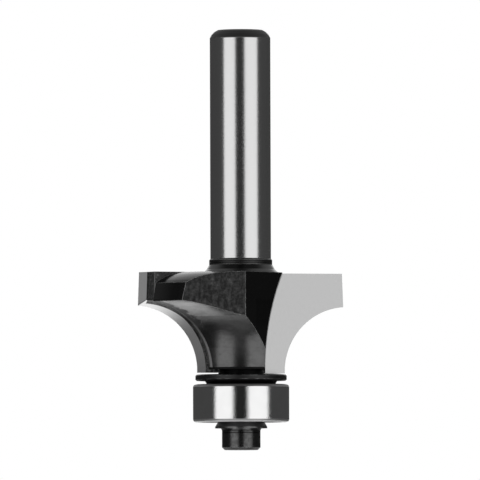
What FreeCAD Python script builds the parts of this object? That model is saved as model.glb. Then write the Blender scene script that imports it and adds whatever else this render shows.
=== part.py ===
"""A cove router bit with two brazed carbide tips and a ball-bearing guide.

The bit stands with its shank up. The Z axis is the axis of rotation, Z = 0 is the free
face of the cap screw, and the two wings lie along X. The cutter body is turned, then
milled with two flats and two gullets. Each carbide tip sits in a pocket behind its
gullet. Below the body a dust disc, a shielded ball bearing and a conical washer are
clamped on a stub by one cap screw. All lengths are in millimetres, angles in degrees.
"""
import FreeCAD, Part
import os
from math import cos, degrees, pi, radians, sin, sqrt, tan

from FreeCAD import Vector

# Shank, with its end chamfer and the collar at its root
SHANK_DIAMETER = 8.0
SHANK_LENGTH = 29.2
SHANK_END_DIAMETER = 5.95
SHANK_CHAMFER_HEIGHT = 1.05
SHANK_END_RADIUS = 1.9
COLLAR_DIAMETER = 8.32
COLLAR_HEIGHT = 0.78
COLLAR_CHAMFER = 0.12
FLARE_DIAMETER = 10.0
FLARE_HEIGHT = 1.06
FLARE_RADIUS = 2.2

# Cutting form, measured at the tips' cutting edges. The cove reaches out and up by its
# size, and curves a little more gently than a quarter circle does.
COVE_SIZE = 8.0
COVE_RADIUS = 8.6
COVE_FACE_COUNT = 5
TIP_LAND_HEIGHT = 4.42
TIP_LAND_LEAN = 0.16
NECK_LAND_HEIGHT = 0.79

# Carbide tips
TIP_THICKNESS = 1.6
TIP_RELIEF = 0.75
RAKE_OFFSET = 1.0
TIP_OVERHANG = 0.44
TIP_INNER_X = 3.58
TIP_INNER_RADIUS = 35.0
BRAZE_GAP = 0.02

# Turned head that carries the tips
HEAD_INSET = 0.5
RIM_LEAN = 0.42
RIM_HEIGHT = 2.43
TOP_ROUND_RADIUS = 8.0
TOP_ROUND_FACE_COUNT = 2
FLATS_WIDTH = 18.1

# Pad behind each tip, left standing when the top of the head is turned round
PAD_INSET = 0.63
PAD_THICKNESS = 1.79
PAD_SKEW = 9.06

# Gullet in front of each tip: a swept wall beside the tip and a flat cut to the front
WALL_SWEEP = 15.5
RAMP_ANGLE = 40.3
RAMP_EDGE_X = -1.82

# Stub, dust disc and the boss that the disc seats on
SEAT_CLEARANCE = 0.011
STUB_SHORTFALL = 0.27
STUB_CHAMFER = 0.25
BOSS_DIAMETER = 6.0
BOSS_HEIGHT = 0.65
DISC_DIAMETER = 12.06
DISC_THICKNESS = 0.8
DISC_EDGE_BEVEL = 0.15
DISC_HUB_DIAMETER = 9.6
DISC_HUB_TAPER = 0.3
DISC_HUB_HEIGHT = 0.482

# Ball bearing, inch size R3
BEARING_DIAMETER = 12.7
BEARING_BORE = 4.7625
BEARING_WIDTH = 4.978
BEARING_EDGE_RADIUS = 0.35
BORE_EDGE_CHAMFER = 0.12
BALL_DIAMETER = 2.381
BALL_COUNT = 7
BALL_ROW_COUNT = 6
BALL_CLEARANCE = 0.01
RACE_ANGLE = 50.0
SHOULDER_HEIGHT = 0.476
SHIELD_THICKNESS = 0.2
SHIELD_DEPTH = 0.28
SHIELD_GAP = 0.12
SHIELD_LEDGE = 0.28
SNAP_RING_WIDTH = 0.32
SNAP_RING_HEIGHT = 0.2
SNAP_RING_GAP_ANGLE = 24.0
CAGE_CLEARANCE = 0.18
CAGE_POCKET_CLEARANCE = 0.05
CAGE_BACK = 0.38
CAGE_PRONGS = 0.6

# Conical washer and cap screw
WASHER_TOP_DIAMETER = 6.16
WASHER_DIAMETER = 6.88
WASHER_HEIGHT = 0.82
WASHER_RIM = 0.2
WASHER_BORE = 3.2
SCREW_DIAMETER = 3.0
SCREW_LENGTH = 8.0
HEAD_DIAMETER = 5.08
HEAD_HEIGHT = 2.86
HEAD_CHAMFER = 0.34
HEAD_FLANGE_DIAMETER = 5.36
HEAD_FLANGE_HEIGHT = 0.28
HEX_ACROSS_FLATS = 2.5
HEX_DEPTH = 1.5
HEX_CHAMFER = 0.14
HOLE_EXTRA_DEPTH = 0.6

# Heights, stacked from the screw head upward
washer_z = HEAD_HEIGHT
bearing_z = washer_z + WASHER_HEIGHT
bearing_mid_z = bearing_z + BEARING_WIDTH / 2
hub_z = bearing_z + BEARING_WIDTH
disc_z = hub_z + DISC_HUB_HEIGHT
boss_z = disc_z + DISC_THICKNESS
head_z = boss_z + BOSS_HEIGHT
tip_z = head_z - TIP_OVERHANG
cove_z = tip_z + NECK_LAND_HEIGHT
corner_z = cove_z + COVE_SIZE
top_z = corner_z + TIP_LAND_HEIGHT
collar_z = top_z + FLARE_HEIGHT
shank_z = collar_z + COLLAR_HEIGHT
chamfer_z = shank_z + SHANK_LENGTH
end_z = chamfer_z + SHANK_CHAMFER_HEIGHT

# Radii that several pieces share
bearing_radius = BEARING_DIAMETER / 2
corner_radius = bearing_radius + COVE_SIZE
rim_radius = corner_radius - HEAD_INSET
bore_radius = BEARING_BORE / 2
stub_radius = bore_radius - SEAT_CLEARANCE
boss_radius = BOSS_DIAMETER / 2
screw_radius = SCREW_DIAMETER / 2
ball_radius = BALL_DIAMETER / 2
pitch_radius = (bearing_radius + bore_radius) / 2
seat_radius = pitch_radius + ball_radius - SHOULDER_HEIGHT + SHIELD_LEDGE

# Reach of the tools that cut right through the head
TOOL_REACH = 2 * corner_radius
UP = Vector(0, 0, 1)
CENTRE = Vector(0, 0, 0)


class Outline:
    """A closed outline drawn from point to point in a plane of constant y."""

    def __init__(self, x, z, y=0.0):
        self.y = y
        self.start = self.here = self.at(x, z)
        self.edges = []

    def at(self, x, z):
        return Vector(x, self.y, z)

    def line(self, x, z):
        target = self.at(x, z)
        self.edges.append(Part.LineSegment(self.here, target).toShape())
        self.here = target
        return self

    def steps_round(self, x, z, radius, count):
        """Points at even steps along an arc to (x, z).

        A positive radius bulges to the left of the way it runs.
        """
        target = self.at(x, z)
        chord = target - self.here
        half = chord.Length / 2
        to_centre = sqrt(radius * radius - half * half) * (-1 if radius > 0 else 1)
        centre = (self.here + target) / 2 + Vector(-chord.z, 0, chord.x).normalize() * to_centre
        spoke = self.here - centre
        turn_axis = spoke.cross(target - centre)
        step = degrees(spoke.getAngle(target - centre)) / count
        turns = [FreeCAD.Rotation(turn_axis, step * number) for number in range(1, count)]
        return [centre + turn.multVec(spoke) for turn in turns] + [target]

    def arc(self, x, z, radius, pieces=1):
        """Arc to (x, z). Several pieces turn into faces that mesh with fewer triangles."""
        points = self.steps_round(x, z, radius, 2 * pieces)
        for middle, end in zip(points[::2], points[1::2]):
            self.edges.append(Part.Arc(self.here, middle, end).toShape())
            self.here = end
        return self

    def bevels(self, x, z, radius, count=2):
        """A small rounding as a few straight bevels, which mesh far more lightly than an arc."""
        for point in self.steps_round(x, z, radius, count):
            self.line(point.x, point.z)
        return self

    def wire(self):
        if (self.here - self.start).Length > 1e-7:
            self.line(self.start.x, self.start.z)
        return Part.Wire(self.edges)

    def face(self):
        return Part.Face(self.wire())

    def turned(self):
        return self.face().revolve(CENTRE, UP, 360)


def half_turn(shape):
    """The same shape on the other wing."""
    turned = shape.copy()
    turned.rotate(CENTRE, UP, 180)
    return turned


def plan_prism(points, low, high):
    """A vertical prism over a plan outline, between two heights."""
    corners = [Vector(x, y, low) for x, y in points]
    return Part.Face(Part.makePolygon(corners + corners[:1])).extrude(Vector(0, 0, high - low))


def write(name, shape):
    """Write one piece to its own file."""
    if not shape.isValid():
        raise ValueError(name + " is not a valid shape")
    shape.exportStep("parts/" + name + ".step")


def in_rake_plane(radius):
    """Distance along the rake plane at which it meets a circle about the axis."""
    return sqrt(radius * radius - RAKE_OFFSET * RAKE_OFFSET)


def inner_edge_x(z, gap=0.0):
    """Inner edge of a tip: an arc that is upright at the bottom of the head."""
    rise = z - head_z
    return TIP_INNER_X - gap + TIP_INNER_RADIUS - sqrt(TIP_INNER_RADIUS ** 2 - rise * rise)


def rim_corner_z(inset):
    """Height at which the cove, drawn in by an inset, ends at the rim."""
    return cove_z + sqrt((COVE_SIZE + inset) ** 2 - inset * inset)


def tip_outline(y, inset):
    """Outline of a tip at depth y, its three cutting edges drawn in by the relief."""
    corner_x = in_rake_plane(corner_radius)
    lean_per_height = TIP_LAND_LEAN / TIP_LAND_HEIGHT
    neck_x = in_rake_plane(bearing_radius) - inset
    edge_x = corner_x - inset
    edge_z = rim_corner_z(inset)
    top_x = edge_x - lean_per_height * (top_z - edge_z)
    outline = Outline(inner_edge_x(tip_z), tip_z, y)
    outline.line(neck_x, tip_z).line(neck_x, cove_z).arc(edge_x, edge_z, COVE_RADIUS + inset)
    outline.line(top_x, top_z).line(inner_edge_x(top_z), top_z)
    return outline.arc(inner_edge_x(tip_z), tip_z, -TIP_INNER_RADIUS).wire()


def carbide_tip():
    """Flat tip, ground back from its cutting edges to leave them clearance."""
    front = tip_outline(RAKE_OFFSET, 0.0)
    back = tip_outline(RAKE_OFFSET + TIP_THICKNESS, TIP_RELIEF)
    return Part.makeLoft([front, back], True, True)


def beyond_inner_edge(y):
    """Face over all that lies outside the tip's inner edge, in the plane at y."""
    low, high = tip_z - 1.0, top_z + 1.0
    low_x, high_x = inner_edge_x(low, BRAZE_GAP), inner_edge_x(high, BRAZE_GAP)
    region = Outline(low_x, low, y).line(TOOL_REACH, low).line(TOOL_REACH, high).line(high_x, high)
    return region.arc(low_x, low, -TIP_INNER_RADIUS).face()


def gullet():
    """Space milled out in front of one tip, with the tip's own pocket."""
    pocket = beyond_inner_edge(RAKE_OFFSET).extrude(Vector(0, TIP_THICKNESS + BRAZE_GAP, 0))
    sweep = radians(WALL_SWEEP)
    swept_wall = beyond_inner_edge(RAKE_OFFSET).extrude(Vector(-sin(sweep), -cos(sweep), 0) * TOOL_REACH)
    ramp = radians(RAMP_ANGLE)
    front_y = -FLATS_WIDTH / 2
    ramp_top_x = RAMP_EDGE_X + (RAKE_OFFSET - front_y) / tan(ramp)
    below_x = RAMP_EDGE_X - 1.0 / tan(ramp)
    ramp_cut = plan_prism([(below_x, front_y - 1.0), (ramp_top_x, RAKE_OFFSET),
                           (TOOL_REACH, RAKE_OFFSET), (TOOL_REACH, front_y - 1.0)],
                          tip_z - 1.0, top_z + 1.0)
    return pocket.fuse([swept_wall, ramp_cut])


def head_blank(inset, lean, top_flat_radius=None):
    """The head as turned, its cove concentric with the cutting edges.

    With a flat radius the top is rounded down to the rim; without one it stays square.
    """
    neck = bearing_radius - inset
    rim = corner_radius - inset
    rim_z = rim_corner_z(inset)
    blank = Outline(0, head_z).line(neck, head_z).line(neck, cove_z)
    blank.arc(rim, rim_z, COVE_RADIUS + inset, COVE_FACE_COUNT)
    if top_flat_radius is None:
        return blank.line(rim - lean, top_z).line(0, top_z).turned()
    blank.line(rim - lean, rim_z + RIM_HEIGHT)
    blank.arc(top_flat_radius, top_z, -TOP_ROUND_RADIUS, TOP_ROUND_FACE_COUNT)
    return blank.line(0, top_z).turned()


def top_round_start():
    """Radius at which the flat top begins to fall away to the rim."""
    drop = top_z - rim_corner_z(HEAD_INSET) - RIM_HEIGHT
    return rim_radius - RIM_LEAN - sqrt(TOP_ROUND_RADIUS ** 2 - (TOP_ROUND_RADIUS - drop) ** 2)


def pad_zone():
    """Wedge behind one tip, between the tip's back and the skewed edge of the round."""
    back_y = RAKE_OFFSET + TIP_THICKNESS + BRAZE_GAP
    slope = tan(radians(PAD_SKEW))
    apex_x = rim_radius - PAD_THICKNESS / slope
    outer_y = back_y + (TOOL_REACH - apex_x) * slope
    return plan_prism([(apex_x, back_y), (TOOL_REACH, back_y), (TOOL_REACH, outer_y)], head_z, top_z)


def stem():
    """Everything about the axis: stub, boss, core, flare, collar and shank."""
    shank = SHANK_DIAMETER / 2
    collar = COLLAR_DIAMETER / 2
    stub_z = bearing_z + STUB_SHORTFALL
    form = Outline(0, stub_z).line(stub_radius - STUB_CHAMFER, stub_z)
    form.line(stub_radius, stub_z + STUB_CHAMFER).line(stub_radius, boss_z)
    form.line(boss_radius, boss_z).line(boss_radius, top_z).line(FLARE_DIAMETER / 2, top_z)
    form.bevels(collar, collar_z, FLARE_RADIUS)
    form.line(collar, shank_z - COLLAR_CHAMFER).line(shank, shank_z)
    form.line(shank, chamfer_z).bevels(SHANK_END_DIAMETER / 2, end_z, -SHANK_END_RADIUS, 3)
    return form.line(0, end_z).turned()


def screw_hole():
    """Blind tapped hole up the stub."""
    length = SCREW_LENGTH + HOLE_EXTRA_DEPTH
    return Part.makeCylinder(screw_radius, length, Vector(0, 0, washer_z))


def cutter_body():
    """Turned and milled steel body, one piece with the shank."""
    rounded = head_blank(HEAD_INSET, RIM_LEAN, top_round_start())
    square = head_blank(PAD_INSET, TIP_LAND_LEAN)
    pads = pad_zone()
    pads = pads.fuse(half_turn(pads))
    head = rounded.cut(pads).fuse(square.common(pads))
    slab = Part.makeBox(2 * TOOL_REACH, FLATS_WIDTH, end_z, Vector(-TOOL_REACH, -FLATS_WIDTH / 2, 0))
    space = gullet()
    head = head.common(slab).cut([space, half_turn(space)])
    return head.fuse(stem()).cut(screw_hole()).removeSplitter()


def dust_disc():
    """Turned disc that keeps dust off the bearing and carries the clamping force."""
    bore = stub_radius + SEAT_CLEARANCE
    hub = DISC_HUB_DIAMETER / 2
    rim = DISC_DIAMETER / 2
    edge = DISC_EDGE_BEVEL
    form = Outline(bore, hub_z).line(hub - DISC_HUB_TAPER, hub_z).line(hub, disc_z)
    form.line(rim - edge, disc_z).line(rim, disc_z + edge)
    form.line(rim, boss_z - edge).line(rim - edge, boss_z).line(bore, boss_z)
    return form.turned()


def cut_race(form, side, first):
    """Draw the balls' track into a ring: three flats, each just clear of the balls.

    Side is 1 for the outer ring and -1 for the inner one, first is 1 to draw it upward.
    """
    angle = radians(RACE_ANGLE)
    reach = ball_radius + BALL_CLEARANCE
    land = ball_radius - SHOULDER_HEIGHT
    mouth = (reach - land * cos(angle)) / sin(angle)
    bottom = reach * tan(angle / 2)
    form.line(pitch_radius + side * land, bearing_mid_z - first * mouth)
    form.line(pitch_radius + side * reach, bearing_mid_z - first * bottom)
    form.line(pitch_radius + side * reach, bearing_mid_z + first * bottom)
    return form.line(pitch_radius + side * land, bearing_mid_z + first * mouth)


def both_faces(shape):
    """A shape and its mirror image in the middle plane of the bearing."""
    return shape, shape.mirror(Vector(0, 0, bearing_mid_z), UP)


def outer_ring():
    """Hardened outer ring, with a ledge for each shield."""
    land = pitch_radius + ball_radius - SHOULDER_HEIGHT
    edge = BEARING_EDGE_RADIUS
    ledge = SHIELD_DEPTH + SHIELD_THICKNESS
    low = bearing_z
    high = bearing_z + BEARING_WIDTH
    form = Outline(seat_radius, low).line(bearing_radius - edge, low).bevels(bearing_radius, low + edge, -edge)
    form.line(bearing_radius, high - edge).bevels(bearing_radius - edge, high, -edge)
    form.line(seat_radius, high).line(seat_radius, high - ledge).line(land, high - ledge)
    cut_race(form, 1, -1).line(land, low + ledge).line(seat_radius, low + ledge)
    return form.turned()


def inner_ring():
    """Hardened inner ring, clamped between the washer and the dust disc."""
    land = pitch_radius - ball_radius + SHOULDER_HEIGHT
    edge = BORE_EDGE_CHAMFER
    low = bearing_z
    high = bearing_z + BEARING_WIDTH
    form = Outline(bore_radius + edge, low).line(land, low)
    cut_race(form, -1, 1).line(land, high).line(bore_radius + edge, high)
    return form.line(bore_radius, high - edge).line(bore_radius, low + edge).turned()


def bearing_shield():
    """Sheet metal shield on the lower face, just clear of the inner ring."""
    inner = pitch_radius - ball_radius + SHOULDER_HEIGHT + SHIELD_GAP
    low = bearing_z + SHIELD_DEPTH
    high = low + SHIELD_THICKNESS
    return Outline(inner, low).line(seat_radius, low).line(seat_radius, high).line(inner, high).turned()


def snap_ring():
    """Split spring ring that holds the lower shield against its ledge."""
    inner = seat_radius - SNAP_RING_WIDTH
    high = bearing_z + SHIELD_DEPTH
    low = high - SNAP_RING_HEIGHT
    section = Outline(inner, low).line(seat_radius, low).line(seat_radius, high).line(inner, high)
    return section.face().revolve(CENTRE, UP, 360 - SNAP_RING_GAP_ANGLE)


def ball_place(number):
    angle = 2 * pi * number / BALL_COUNT
    return Vector(pitch_radius * cos(angle), pitch_radius * sin(angle), bearing_mid_z)


def ball(number):
    """One steel ball of the row, in flat facets, since seven smooth ones mesh too heavily."""
    rows = []
    for row in range(1, BALL_ROW_COUNT):
        height = Vector(0, 0, -ball_radius * cos(pi * row / BALL_ROW_COUNT))
        spoke = Vector(ball_radius * sin(pi * row / BALL_ROW_COUNT), 0, 0)
        turns = [FreeCAD.Rotation(UP, 180 * side / BALL_ROW_COUNT) for side in range(2 * BALL_ROW_COUNT + 1)]
        rows.append([ball_place(number) + height + turn.multVec(spoke) for turn in turns])
    ends = [ball_place(number) - UP * ball_radius, ball_place(number) + UP * ball_radius]
    faces = []
    for side in range(2 * BALL_ROW_COUNT):
        faces.append([ends[0], rows[0][side + 1], rows[0][side]])
        faces.append([ends[1], rows[-1][side], rows[-1][side + 1]])
        for under, over in zip(rows, rows[1:]):
            faces.append([under[side], under[side + 1], over[side + 1], over[side]])
    shell = Part.makeShell([Part.Face(Part.makePolygon(face + face[:1])) for face in faces])
    return Part.makeSolid(shell)


def ball_cage():
    """Crown cage: a closed back ring with prongs that hold the balls from one side."""
    inner = pitch_radius - ball_radius + SHOULDER_HEIGHT + CAGE_CLEARANCE
    outer = pitch_radius + ball_radius - SHOULDER_HEIGHT - CAGE_CLEARANCE
    pocket = ball_radius + CAGE_POCKET_CLEARANCE
    low = bearing_mid_z - CAGE_PRONGS
    high = bearing_mid_z + pocket + CAGE_BACK
    crown = Outline(inner, low).line(outer, low).line(outer, high).line(inner, high).turned()
    middle = Vector(0, 0, bearing_mid_z)
    return crown.cut([Part.makeCylinder(pocket, outer, middle, ball_place(number) - middle)
                      for number in range(BALL_COUNT)])


def clamp_washer():
    """Conical washer between the screw head and the inner ring."""
    bore = WASHER_BORE / 2
    form = Outline(bore, washer_z).line(WASHER_DIAMETER / 2, washer_z)
    form.line(WASHER_DIAMETER / 2, washer_z + WASHER_RIM).line(WASHER_TOP_DIAMETER / 2, bearing_z)
    return form.line(bore, bearing_z).turned()


def cap_screw():
    """Socket head cap screw. Its head hangs down, so the hex socket opens below."""
    head = HEAD_DIAMETER / 2
    tip = washer_z + SCREW_LENGTH
    flange_z = washer_z - HEAD_FLANGE_HEIGHT
    form = Outline(0, 0).line(head - HEAD_CHAMFER, 0).line(head, HEAD_CHAMFER).line(head, flange_z)
    form.line(HEAD_FLANGE_DIAMETER / 2, washer_z).line(screw_radius, washer_z)
    form.line(screw_radius, tip).line(0, tip)
    corner = HEX_ACROSS_FLATS / sqrt(3)
    points = [(corner * cos(pi * k / 3), corner * sin(pi * k / 3)) for k in range(6)]
    socket = plan_prism(points, -1.0, HEX_DEPTH)
    flat = HEX_ACROSS_FLATS / 2
    wide = corner + HEX_CHAMFER
    lead_in = Outline(0, 0).line(wide, 0).line(flat, wide - flat).line(0, wide - flat).turned()
    return form.turned().cut([socket, lead_in])


os.makedirs("parts", exist_ok=True)

write("cutter_body", cutter_body())
tip_solid = carbide_tip()
write("carbide_tip_1", tip_solid)
write("carbide_tip_2", half_turn(tip_solid))
write("dust_disc", dust_disc())
write("bearing_inner_ring", inner_ring())
write("bearing_outer_ring", outer_ring())
write("ball_cage", ball_cage())
for ball_number in range(BALL_COUNT):
    write("bearing_ball_%d" % (ball_number + 1), ball(ball_number))
for side, shield, spring in zip(("lower", "upper"), both_faces(bearing_shield()), both_faces(snap_ring())):
    write("bearing_shield_" + side, shield)
    write("snap_ring_" + side, spring)
write("clamp_washer", clamp_washer())
write("cap_screw", cap_screw())
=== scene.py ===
from math import cos, pi, radians, sin, tan

import bmesh
import bpy
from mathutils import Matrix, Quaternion, Vector


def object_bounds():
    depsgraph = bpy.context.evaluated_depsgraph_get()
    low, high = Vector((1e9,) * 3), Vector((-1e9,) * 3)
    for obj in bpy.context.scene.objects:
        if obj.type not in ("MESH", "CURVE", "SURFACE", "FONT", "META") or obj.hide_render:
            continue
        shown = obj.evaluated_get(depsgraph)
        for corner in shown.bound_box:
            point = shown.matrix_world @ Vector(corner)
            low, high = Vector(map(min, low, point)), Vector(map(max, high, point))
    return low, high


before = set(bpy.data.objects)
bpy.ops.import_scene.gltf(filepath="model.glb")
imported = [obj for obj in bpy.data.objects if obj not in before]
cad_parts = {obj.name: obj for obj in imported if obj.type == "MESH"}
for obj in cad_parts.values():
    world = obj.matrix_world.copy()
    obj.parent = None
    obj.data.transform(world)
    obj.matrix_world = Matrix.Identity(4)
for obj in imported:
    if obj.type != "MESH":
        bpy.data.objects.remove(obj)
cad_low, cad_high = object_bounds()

# Cutter body. One bar of tool steel, turned with its shank, then milled flat at front and
# back and gulleted. The head is sand-blasted on its flats and blacked all over, and brazing
# has scorched it beside the tips; the shank is ground bright afterwards, down to the collar.
MM = 0.001

# A border between two finishes is given as two sizes, where the change starts and where it
# ends. The two fine lines on the collar are given by their heights.
SHANK_FOOT = (25.22 * MM, 25.28 * MM)
SHANK_END = (54.28 * MM, 54.34 * MM)
COLLAR_FOOT = (24.35 * MM, 24.4 * MM)
COLLAR_LINES = (24.86 * MM, 24.66 * MM)
COLLAR_LINE_SIDE = (0.03 * MM, 0.08 * MM)
HEAD_TOP = (23.33 * MM, 23.36 * MM)
STUB_TOP = (10.83 * MM, 10.87 * MM)
COVE_FOOT = (11.3 * MM, 11.6 * MM)
COVE_FADE = (18.5 * MM, 19.5 * MM)
FLAT_FACE = (9.0 * MM, 9.02 * MM)
RIM_RADIUS = (12.9 * MM, 13.0 * MM)
RAKE_PLANE = 1.0 * MM
PAD_START = 2.63 * MM
PAD_FRONT = 2.62 * MM
PAD_SLOPE = tan(radians(9.06))
PAD_STEP = (0.03 * MM, 0.06 * MM)
LOW_PAD_TOP = (15.0 * MM, 18.5 * MM)
GULLET_TURN = radians(40.3)
GULLET_WALL = (5.67 * MM, 5.7 * MM)

# Brazing left a ragged scorched band, with a wider smear, along the inner edge of each pad.
# Lower down, the lip of that edge is coloured bright, partly as wear and partly as a painted highlight.
SMOKE_FOOT = (15.5 * MM, 17.0 * MM)
SMOKE_TOP = (19.5 * MM, 19.9 * MM)
SCORCH_START = (-0.1 * MM, 0)
SCORCH_END = (0.95 * MM, 1.5 * MM)
SCORCH_SWING = 5.5 * MM
SMEAR_END = (1.2 * MM, 4.0 * MM)
SMEAR_SWING = 7.0 * MM
LIP_MIDDLE = 0.19 * MM
LIP_SIDE = (0.15 * MM, 0.21 * MM)
LIP_TOP = (14.0 * MM, 17.5 * MM)


def grey(level):
    """A neutral colour."""
    return (level, level, level, 1)


BLACKING = grey(0.124)
GULLET_BLACK = grey(0.056)
DEEP_BLACK = grey(0.02)
BLASTED = grey(0.096)
BLASTED_DARK = grey(0.031)
# Light bare steel, used both for wear and for painted highlights along edges.
WEAR_AND_GLINT = grey(0.45)
SHANK_END_STEEL = grey(0.2)
GROUND_STEEL = grey(0.72)

# How far the shading direction of a sharp edge leans away from the true one.
EDGE_LEAN = (0.008, 0.07)


class Level:
    """The output socket of a node, which can be added, multiplied and so on like a number."""

    def __init__(self, nodes, socket):
        self.nodes = nodes
        self.socket = socket

    def maths(self, operation, *terms):
        return self.nodes.node("ShaderNodeMath", {"operation": operation}, dict(enumerate(terms)))

    def __add__(self, other):
        return self.maths("ADD", self, other)

    def __sub__(self, other):
        return self.maths("SUBTRACT", self, other)

    def __rsub__(self, other):
        return self.maths("SUBTRACT", other, self)

    def __mul__(self, other):
        return self.maths("MULTIPLY", self, other)

    def __pow__(self, other):
        return self.maths("POWER", self, other)

    def __neg__(self):
        return 0 - self

    def __abs__(self):
        return self.maths("ABSOLUTE", self)

    __radd__ = __add__
    __rmul__ = __mul__

    def sign(self):
        return self.maths("SIGN", self)

    def larger(self, other):
        return self.maths("MAXIMUM", self, other)


class Nodes:
    """A tree of shader nodes, which grows as its nodes are asked for."""

    def __init__(self, tree):
        self.tree = tree

    def node(self, kind, settings=None, sockets=None, output=0):
        """Adds a node, with its settings first and then the values or links of its sockets."""
        made = self.tree.nodes.new(kind)
        for name, value in (settings or {}).items():
            setattr(made, name, value)
        for name, value in (sockets or {}).items():
            self.feed(made.inputs[name], value)
        return Level(self, made.outputs[output])

    def feed(self, socket, value):
        if isinstance(value, Level):
            self.tree.links.new(value.socket, socket)
        else:
            socket.default_value = value

    def past(self, level, border):
        """0 before a border and 1 past it, with a smooth step across it."""
        start, end = border
        return self.node("ShaderNodeMapRange", {"interpolation_type": "SMOOTHSTEP"},
                         {"Value": level, "From Min": start, "From Max": end})

    def before(self, level, border):
        """1 before a border and 0 past it, with a smooth step across it."""
        return 1 - self.past(level, border)

    def dot(self, first, second):
        """The dot product of two directions."""
        return self.node("ShaderNodeVectorMath", {"operation": "DOT_PRODUCT"}, {0: first, 1: second}, 1)

    def multiplied(self, vector, factors):
        """A vector with each of its parts multiplied by a factor."""
        return self.node("ShaderNodeVectorMath", {"operation": "MULTIPLY"}, {0: vector, 1: factors})

    def coats(self, colour, *coats):
        """A colour under one coat after another, each with its share and its own colour."""
        for share, coat in coats:
            colour = self.node("ShaderNodeMix", {"data_type": "RGBA"},
                               {"Factor": share, 6: colour, 7: coat}, 2)
        return colour

    def blend(self, share, under, over):
        """The number under, moved towards the number over as far as share says."""
        return self.node("ShaderNodeMix", {"data_type": "FLOAT"}, {"Factor": share, 2: under, 3: over})


class Finish(Nodes):
    """One surface finish: a material that ends in a principled shader."""

    def __init__(self, name, **uniform):
        self.material = bpy.data.materials.new(name)
        self.material.use_nodes = True
        super().__init__(self.material.node_tree)
        self.shader = self.tree.nodes["Principled BSDF"]
        self.set(**uniform)
        self.place = self.node("ShaderNodeTexCoord", output="Object")
        self.x, self.y, self.z = (
            self.node("ShaderNodeSeparateXYZ", {}, {0: self.place}, axis) for axis in "XYZ")

    def set(self, **values):
        """Sets sockets of the shader by name, with underscores for the spaces."""
        for name, value in values.items():
            self.feed(self.shader.inputs[name.replace("_", " ")], value)

    def cloud(self, per_mm, detail=3.0, roughness=0.5, stretch=(1, 1, 1)):
        """Cloudy noise with so many cells to a millimetre, stretched along the axes."""
        return self.node("ShaderNodeTexNoise", {}, {
            "Vector": self.multiplied(self.place, stretch), "Scale": per_mm / MM,
            "Detail": detail, "Roughness": roughness})

    def rings(self, per_mm):
        """Fine marks that run round the axis, as turning and grinding leave them."""
        return self.cloud(per_mm, 2.0, 0.6, (0.02, 0.02, 1))

    def turned_lines(self, heights, side):
        """1 on lines round the axis at some heights, and 0 past the border at their side."""
        return sum(self.before(abs(self.z - height), side) for height in heights)

    def behind(self):
        """How far a point lies behind the plane of the axis, seen the way that the bit turns."""
        return self.y * self.x.sign()

    def rounded(self, radius_mm):
        """The direction of the surface, as if its edges were rounded by a radius."""
        return self.node("ShaderNodeBevel", {"samples": 4}, {"Radius": radius_mm * MM})

    def bumps(self, height, depth_mm, rounding_mm):
        """Raises the surface by height times a depth, over edges rounded by a radius."""
        self.set(Normal=self.node("ShaderNodeBump", {}, {
            "Height": height, "Strength": 1.0, "Distance": depth_mm * MM,
            "Normal": self.rounded(rounding_mm)}))

    def wear_and_glint_edges(self, radius_mm, patches, border):
        """1 along sharp edges where the patches are past a border, and 0 elsewhere."""
        true = self.node("ShaderNodeNewGeometry", output="True Normal")
        lean = 1 - self.dot(self.rounded(radius_mm), true)
        return self.past(lean, EDGE_LEAN) * self.past(patches, border)

    def cover(self, *nodes):
        """Gives the finish to CAD nodes."""
        for node in nodes:
            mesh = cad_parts[node].data
            mesh.materials.clear()
            mesh.materials.append(self.material)


body = Finish("blacked_tool_steel", Metallic=1.0)
behind = body.behind()
past_pads = behind - (PAD_FRONT + (abs(body.x) - PAD_START) * PAD_SLOPE)
across_gullets = body.x * sin(GULLET_TURN) - body.y * cos(GULLET_TURN)
from_axis = (body.x * body.x + body.y * body.y) ** 0.5

# The places on the body: 1 inside each and 0 outside.
end = body.past(body.z, SHANK_END)
bright = body.past(body.z, SHANK_FOOT) * (1 - end)
collar = body.past(body.z, COLLAR_FOOT)
collar_lines = body.turned_lines(COLLAR_LINES, COLLAR_LINE_SIDE)
head = body.before(body.z, HEAD_TOP)
stub = body.before(body.z, STUB_TOP)
cove = body.before(body.z, COVE_FADE)
rim = body.past(from_axis, RIM_RADIUS)
flats = body.past(abs(body.y), FLAT_FACE) * head
pads = body.before(past_pads, PAD_STEP) * body.past(behind, (RAKE_PLANE, PAD_FRONT)) * head
low_pads = pads * body.before(body.z, LOW_PAD_TOP)
gullets = body.past(abs(across_gullets), GULLET_WALL) * head

# The marks of blasting, blacking, turning, grinding and wear, with painted highlights along sharp edges.
grit = 0.65 * body.cloud(1.7, 5.0, 0.75) + 0.35 * body.cloud(2.6, 4.0, 0.7, (1, 1, 0.3))
patches = body.cloud(1.6, 3.0, 0.6)
turning = body.rings(22.0)
grinding = body.rings(60.0)
streaks = body.cloud(1.8, 6.0, 0.8, (0.3, 0.3, 1)) - 0.5
scuffs = body.past(body.cloud(2.0, 6.0, 0.8, (0.4, 0.4, 1)), (0.45, 0.65)) * cove
rim_spots = body.past(body.cloud(4.0, 4.0, 0.8), (0.5, 0.6)) * rim * pads
blasted = flats.larger(pads)
specks = body.past(grit, (0.57, 0.66)) * blasted
mottled = body.coats(BLASTED_DARK, (body.past(grit, (0.4, 0.6)), BLASTED))
# Painted highlight, partly wear: the sharp edges of the head are coloured light.
worn_and_glinting = body.wear_and_glint_edges(0.16, patches, (0.25, 0.5)) * body.past(body.z, COVE_FOOT)

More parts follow.
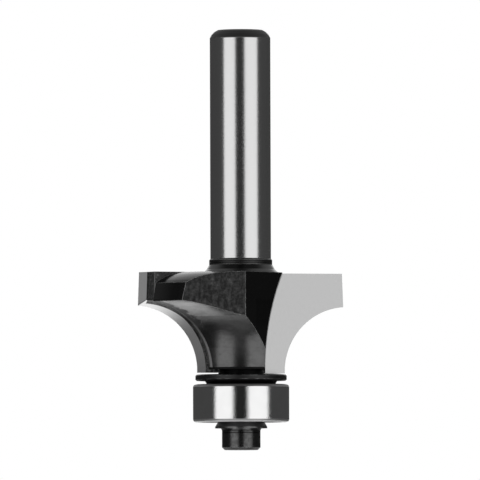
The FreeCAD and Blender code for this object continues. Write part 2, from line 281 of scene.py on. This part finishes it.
# The marks along the inner edge of the pads. The scorched band is as rough as the pads are.
smoked = body.past(body.z, SMOKE_FOOT) * body.before(body.z, SMOKE_TOP)
scorch = body.before(past_pads + streaks * SCORCH_SWING, SCORCH_END) * body.past(past_pads, SCORCH_START)
scorch = scorch * smoked
smear = body.before(past_pads + streaks * SMEAR_SWING, SMEAR_END)
# Painted highlight, partly wear: a bright strip along the lip just past the pad edge.
worn_and_glinting_lip = body.before(abs(past_pads - LIP_MIDDLE), LIP_SIDE) * body.before(body.z, LIP_TOP)
worn_and_glinting_lip = worn_and_glinting_lip * body.past(body.cloud(5.0, 4.0, 0.8), (0.25, 0.5))
blasted = blasted.larger(0.85 * scorch)

# The coats of colour, each over those before it, then the gloss and the relief.
body.set(Base_Color=body.coats(
    BLACKING,
    (gullets + 0.9 * rim, GULLET_BLACK),
    (0.4 * scuffs, GULLET_BLACK),
    (end, SHANK_END_STEEL),
    (blasted, mottled),
    ((0.4 * smear + 0.35 * pads) * smoked, DEEP_BLACK),
    (0.8 * scorch, DEEP_BLACK),
    ((0.12 * pads + 0.15 * low_pads) * (1 - smoked) + worn_and_glinting_lip, WEAR_AND_GLINT),
    (0.25 * collar + 0.8 * collar_lines + stub, DEEP_BLACK),
    (0.8 * worn_and_glinting + 0.3 * specks + 0.5 * rim_spots, WEAR_AND_GLINT),
    (bright, GROUND_STEEL)))
smooth = 0.14 + 0.08 * patches + 0.05 * turning + 0.25 * collar + 0.3 * stub + 0.03 * cove + 0.15 * end
rough = body.blend(blasted, smooth, 0.46 + 0.2 * grit)
rough = body.blend(worn_and_glinting + worn_and_glinting_lip, rough, 0.5)
body.set(Roughness=body.blend(bright, rough, 0.16 + 0.08 * grinding))
relief = body.blend(blasted, 0.12 * turning + (0.04 + 0.18 * cove) * body.cloud(4.0, 3.0, 0.6), grit)
body.bumps(body.blend(bright, relief, 0.05 * grinding), 0.03, 0.06)
body.cover("cutter_body")

# Carbide tips. Two sintered tungsten carbide blanks, brazed into their pockets and then
# ground on the rake face and along the cutting edges, which leaves a fine satin grain. Their
# backs are coloured a dark flecked grey, and so is a strip along the edge next to the pads.
TIP_FLANK = (1.01 * MM, 1.04 * MM)
TIP_BACK = (2.56 * MM, 2.59 * MM)
# Where the flank's painted light above the cove gives way to its painted shade below it.
COVE_TOP = (19.07 * MM, 19.17 * MM)
COVE_TOP_RISE = 0.42
BRAZE_EDGE = (2.28 * MM, 2.4 * MM)
BRAZE_SLANT = 0.17
BRAZE_START = 10.0 * MM
BRAZE_REACH = (13.4 * MM, 13.5 * MM)
BRAZE_TOP = (20.0 * MM, 20.2 * MM)
# The two flank colours below are painted light and painted shade of one ground carbide.
CARBIDE = grey(0.54)
CARBIDE_DARK = grey(0.48)
FLANK_PAINTED_LIGHT = grey(0.9)
RELIEF_PAINTED_SHADE = grey(0.66)
FLECKED_DARK = grey(0.015)
FLECK_GREY = grey(0.12)

tip = Finish("ground_carbide", Metallic=1.0)
grain = tip.cloud(4.0, 3.0, 0.6, (6, 6, 0.35))
flecks = tip.cloud(30.0, 2.0, 0.5)
behind = tip.behind()
flank = tip.past(behind, TIP_FLANK)
back = tip.past(behind, TIP_BACK)
painted_light_above_cove = tip.past(tip.z - COVE_TOP_RISE * (behind - RAKE_PLANE), COVE_TOP)
brazed = tip.past(behind + BRAZE_SLANT * (abs(tip.x) - BRAZE_START), BRAZE_EDGE)
brazed = brazed * tip.before(abs(tip.x), BRAZE_REACH) * tip.before(tip.z, BRAZE_TOP)
dark_flecked = tip.coats(FLECKED_DARK, (tip.past(tip.cloud(3.5, 5.0, 0.8), (0.44, 0.6)), FLECK_GREY))
# Painted light and shade: the flank is coloured lighter above the cove and darker below it.
flank_with_painted_light = tip.coats(RELIEF_PAINTED_SHADE, (painted_light_above_cove, FLANK_PAINTED_LIGHT), (brazed, dark_flecked))
ground = tip.coats(CARBIDE_DARK, (tip.past(0.5 * flecks + 0.5 * grain, (0.35, 0.65)), CARBIDE))
# The backs of the tips are coloured the same dark flecked grey as the strip by the pads.
tip.set(Base_Color=tip.coats(ground, (flank, flank_with_painted_light), (back, dark_flecked)))
tip.set(Roughness=tip.blend(flank, 0.18 + 0.08 * grain, 0.4 + 0.1 * grain + 0.14 * painted_light_above_cove))
tip.bumps(grain, 0.004, 0.03)
tip.cover("carbide_tip_1", "carbide_tip_2")

# Dust disc. A turned steel disc between the head and the bearing, blacked like the body.
# The coating has worn a little from its bevelled rim.
DISC_BLACK = grey(0.055)

disc = Finish("blacked_disc", Metallic=1.0)
disc_marks = disc.rings(18.0)
disc_wear = disc.wear_and_glint_edges(0.1, disc.cloud(1.2), (0.4, 0.6))
disc.set(Base_Color=disc.coats(DISC_BLACK, (disc_wear, WEAR_AND_GLINT)))
disc.set(Roughness=0.36 + 0.1 * disc_marks + 0.08 * disc.cloud(2.0))
disc.bumps(disc_marks, 0.004, 0.05)
disc.cover("dust_disc")

# Ball bearing. Two rings of chrome steel, hardened, ground and lapped until they shine,
# with satin faces. The balls and their pressed crown cage run between them, out of sight.
RING_MIDDLE = 6.169 * MM
RING_FACE = (2.109 * MM, 2.189 * MM)
CHROME_STEEL = grey(0.87)
CHROME_CLOUDED = grey(0.84)
RING_FACE_STEEL = grey(0.45)
BALL_STEEL = grey(0.88)
CAGE_STEEL = grey(0.61)
CAGE_DULL = grey(0.49)

ring = Finish("lapped_chrome_steel", Metallic=1.0)
lapping = ring.rings(40.0)
ring_clouds = ring.cloud(0.8)
faces = ring.past(abs(ring.z - RING_MIDDLE), RING_FACE)
clear = ring.past(ring_clouds, (0.3, 0.75))
ring.set(Base_Color=ring.coats(CHROME_CLOUDED, (clear, CHROME_STEEL), (faces, RING_FACE_STEEL)))
ring.set(Roughness=ring.blend(faces, 0.05 + 0.06 * lapping, 0.42 + 0.1 * ring_clouds))
ring.bumps(0.1 * lapping + ring.cloud(6.0, 4.0, 0.8), 0.009, 0.05)
ring.cover("bearing_outer_ring", "bearing_inner_ring")

ball = Finish("polished_ball_steel", Metallic=1.0, Base_Color=BALL_STEEL)
ball.set(Roughness=0.05 + 0.04 * ball.cloud(3.0))
ball.cover(*(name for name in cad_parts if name.startswith("bearing_ball_")))

cage = Finish("pressed_cage_steel", Metallic=1.0)
cage_patches = cage.cloud(2.0)
cage.set(Base_Color=cage.coats(CAGE_STEEL, (cage_patches, CAGE_DULL)))
cage.set(Roughness=0.3 + 0.2 * cage_patches)
cage.cover("ball_cage")

# Shields and snap rings. Thin sheet pressed flat against a ledge of the outer ring, each
# held by a split spring ring that is sprung into the same recess.
SHEET = grey(0.6)
SHEET_DULL = grey(0.48)
SPRING = grey(0.42)

shield = Finish("pressed_shield_sheet", Metallic=1.0)
sheet_grain = shield.cloud(3.0, 3.0, 0.6, (1, 14, 1))
shield.set(Base_Color=shield.coats(SHEET, (sheet_grain, SHEET_DULL)))
shield.set(Roughness=0.24 + 0.16 * sheet_grain)
shield.bumps(sheet_grain, 0.002, 0.04)
shield.cover("bearing_shield_lower", "bearing_shield_upper")

spring = Finish("spring_wire", Metallic=1.0)
spring_grain = spring.cloud(5.0)
spring.set(Base_Color=spring.coats(SPRING, (spring_grain, SHEET)))
spring.set(Roughness=0.3 + 0.15 * spring_grain)
spring.bumps(spring_grain, 0.003, 0.04)
spring.cover("snap_ring_lower", "snap_ring_upper")

# Clamp washer and cap screw. A turned conical washer and a hexagon socket screw, both
# blacked and a little oily, which hold the bearing and the disc on the stub.
SCREW_LINES = (2.57 * MM, 2.28 * MM)
SCREW_LINE_SIDE = (0.05 * MM, 0.1 * MM)
WASHER_BLACK = grey(0.13)
SCREW_BLACK = grey(0.12)
SCREW_DARK = grey(0.06)

washer = Finish("blacked_washer", Metallic=1.0)
washer_marks = washer.rings(20.0)
washer_wear = washer.wear_and_glint_edges(0.08, washer.cloud(2.0), (0.4, 0.6))
washer.set(Base_Color=washer.coats(WASHER_BLACK, (washer_wear, WEAR_AND_GLINT)))
washer.set(Roughness=0.24 + 0.1 * washer_marks)
washer.bumps(washer_marks, 0.004, 0.05)
washer.cover("clamp_washer")

screw = Finish("blacked_screw", Metallic=1.0)
screw_marks = screw.rings(14.0)
screw_patches = screw.cloud(2.5)
screw.set(Base_Color=screw.coats(
    SCREW_BLACK,
    (0.6 * screw.past(screw_patches, (0.4, 0.65)), SCREW_DARK),
    (screw.turned_lines(SCREW_LINES, SCREW_LINE_SIDE), DEEP_BLACK),
    (screw.wear_and_glint_edges(0.08, screw_patches, (0.4, 0.62)), WEAR_AND_GLINT)))
screw.set(Roughness=0.16 + 0.08 * screw_marks + 0.08 * screw_patches)
screw.bumps(screw_marks, 0.005, 0.05)
screw.cover("cap_screw")

# Floor. A sheet of pale card under the bit, seen only from above, because the photograph
# looks up at the bit a little from below the level that it stands on.
FLOOR_SIZE = 3.0
FLOOR_GAP = 0.02 * MM
FLOOR_PALE = grey(0.78)
FLOOR_DIM = grey(0.7)

outline = bmesh.new()
bmesh.ops.create_grid(outline, x_segments=1, y_segments=1, size=FLOOR_SIZE)
floor_mesh = bpy.data.meshes.new("floor")
outline.to_mesh(floor_mesh)
outline.free()
floor = bpy.data.objects.new("floor", floor_mesh)
bpy.context.collection.objects.link(floor)
floor.location.z = cad_low.z - FLOOR_GAP
floor.visible_glossy = False
floor.visible_shadow = False

card = Finish("pale_card", Roughness=0.8)
card.set(Base_Color=card.coats(FLOOR_PALE, (card.cloud(0.05, 2.0), FLOOR_DIM)))
from_below = card.node("ShaderNodeNewGeometry", output="Backfacing")
see_through = card.node("ShaderNodeBsdfTransparent")
card_shader = Level(card, card.shader.outputs[0])
one_sided = card.node("ShaderNodeMixShader", {}, {0: from_below, 1: card_shader, 2: see_through})
card.feed(card.tree.nodes["Material Output"].inputs["Surface"], one_sided)
floor_mesh.materials.append(card.material)

# Camera. A long lens a metre and a half away, a little below the bit and turned 15.3
# degrees to its left, so that the right-hand tip faces it most.
CAMERA_AZIMUTH = radians(-15.3)
CAMERA_HEIGHT = radians(-2.0)
CAMERA_DISTANCE = 1.5
CAMERA_ROLL = radians(-0.17)
CAMERA_NEAR = 0.1
CAMERA_FAR = 10.0

# The photograph's scale in pixels to the metre, and its side, the bit's axis and its foot in pixels.
PHOTO_SCALE = 7.575 / MM
PHOTO_SIDE = 480
AXIS_COLUMN = 240.65
FOOT_ROW = 450.0


def put_up(apparatus, spot, facing):
    """Stands a camera or a lamp at a spot in the room, turned towards what it faces."""
    stand = bpy.data.objects.new(apparatus.name, apparatus)
    bpy.context.collection.objects.link(stand)
    stand.location = spot
    stand.rotation_mode = "QUATERNION"
    stand.rotation_quaternion = facing.to_track_quat("-Z", "Y")
    return stand


towards_camera = Vector((sin(CAMERA_AZIMUTH) * cos(CAMERA_HEIGHT),
                         -cos(CAMERA_AZIMUTH) * cos(CAMERA_HEIGHT), sin(CAMERA_HEIGHT)))
aim = Vector((0, 0, (FOOT_ROW - PHOTO_SIDE / 2) / PHOTO_SCALE))
lens = bpy.data.cameras.new("camera")
lens.lens = lens.sensor_width * CAMERA_DISTANCE * PHOTO_SCALE / PHOTO_SIDE
lens.shift_x = (PHOTO_SIDE / 2 - AXIS_COLUMN) / PHOTO_SIDE
lens.clip_start = CAMERA_NEAR
lens.clip_end = CAMERA_FAR
camera = put_up(lens, aim + towards_camera * CAMERA_DISTANCE, -towards_camera)
camera.rotation_quaternion = camera.rotation_quaternion @ Quaternion((0, 0, 1), CAMERA_ROLL)
bpy.context.scene.camera = camera

# Lamps. Two tall soft boxes stand left and right of the camera, from far below the bit to
# a little above it. A third lamp lights the floor from above and behind.
BOX_DISTANCE = 0.5
BOX_FOOT = -0.75
BOX_TOP = 0.16
BOX_SIDES = {"left_box": (radians(-65), radians(-19)), "right_box": (radians(16.3), radians(68))}
BOX_RADIANCE = 1.0
FLOOR_LAMP_SPOT = Vector((0.15, 0.35, 0.8))
FLOOR_LAMP_SIZE = 0.7
FLOOR_LAMP_POWER = 9.0

for title, (start, end) in BOX_SIDES.items():
    box = bpy.data.lights.new(title, "AREA")
    box.shape = "RECTANGLE"
    box.size = 2 * BOX_DISTANCE * tan((end - start) / 2)
    box.size_y = BOX_TOP - BOX_FOOT
    box.energy = pi * box.size * box.size_y * BOX_RADIANCE
    azimuth = CAMERA_AZIMUTH + (start + end) / 2
    from_bit = Vector((sin(azimuth), -cos(azimuth), 0))
    put_up(box, from_bit * BOX_DISTANCE + Vector((0, 0, (BOX_FOOT + BOX_TOP) / 2)), -from_bit)

floor_lamp = bpy.data.lights.new("floor_lamp", "AREA")
floor_lamp.size = FLOOR_LAMP_SIZE
floor_lamp.energy = FLOOR_LAMP_POWER
put_up(floor_lamp, FLOOR_LAMP_SPOT, -FLOOR_LAMP_SPOT).visible_glossy = False

# Room. What the steel mirrors: a dim room with black card round the lens, and white paper
# that hangs behind the bit and sweeps under it. The camera itself sees plain white paper.
ROOM = grey(0.055)
LOW_ROOM = grey(0.13)
BLACK_CARD = grey(0.018)
FRONT_BELOW = grey(0.2)
CEILING = grey(0.35)
UNDERNEATH = grey(0.4)
LOW_PAPER = grey(0.55)
BACK_WALL = grey(1.0)
SWEEP = grey(1.65)
WHITE = grey(1.0)


def climbs(*degrees):
    """The Z parts of directions at some angles from the level."""
    return tuple(sin(radians(angle)) for angle in degrees)


def reaches(*degrees):
    """The cosines of some angles between two directions."""
    return tuple(cos(radians(angle)) for angle in degrees)


CARD_EDGE = reaches(19, 11)
FRONT_BELOW_TOP = (0.15, 0.65)
UNDERNEATH_EDGE = (0.85, 0.99)
LOW_ROOM_TOP = climbs(6, 12)
LOW_ROOM_FOOT = climbs(20, 38)
CEILING_FRONT = (-0.2, 0.4)
CEILING_FOOT = climbs(6, 22)
WALL_EDGE = reaches(30, 14)
WALL_FOOT = climbs(5, 9)
WALL_TOP = climbs(12, 60)
PAPER_TOP = climbs(7, 14)
SWEEP_EDGE = reaches(38, 12)
SWEEP_DIP = radians(-54)

world = bpy.data.worlds.new("room")
world.use_nodes = True
bpy.context.scene.world = world
room = Nodes(world.node_tree)
way = room.node("ShaderNodeTexCoord", output="Generated")
rise = room.node("ShaderNodeSeparateXYZ", {}, {0: way}, "Z")
flat_way = room.node("ShaderNodeVectorMath", {"operation": "NORMALIZE"},
                     {0: room.multiplied(way, (1, 1, 0))})
lens_way = (sin(CAMERA_AZIMUTH), -cos(CAMERA_AZIMUTH), 0)
sweep_way = (-lens_way[0] * cos(SWEEP_DIP), -lens_way[1] * cos(SWEEP_DIP), sin(SWEEP_DIP))
facing = room.dot(flat_way, lens_way)
away = -room.dot(way, lens_way)
near_lens = room.past(facing, CARD_EDGE)
near_wall = room.past(-facing, WALL_EDGE)
straight = room.node("ShaderNodeLightPath", output="Is Camera Ray")
room.feed(room.tree.nodes["Background"].inputs["Color"], room.coats(
    ROOM,
    (room.past(-rise, LOW_ROOM_TOP) * room.before(-rise, LOW_ROOM_FOOT), LOW_ROOM),
    (near_lens, BLACK_CARD),
    (near_lens * room.past(-rise, FRONT_BELOW_TOP), FRONT_BELOW),
    (room.past(away, CEILING_FRONT) * room.past(rise, CEILING_FOOT), CEILING),
    (room.past(-rise, UNDERNEATH_EDGE), UNDERNEATH),
    (near_wall * room.past(-rise, PAPER_TOP), LOW_PAPER),
    (near_wall * room.past(rise, WALL_FOOT) * room.before(rise, WALL_TOP), BACK_WALL),
    (room.past(room.dot(way, sweep_way), SWEEP_EDGE), SWEEP),
    (straight, WHITE)))

bpy.context.scene.view_settings.view_transform = "Standard"
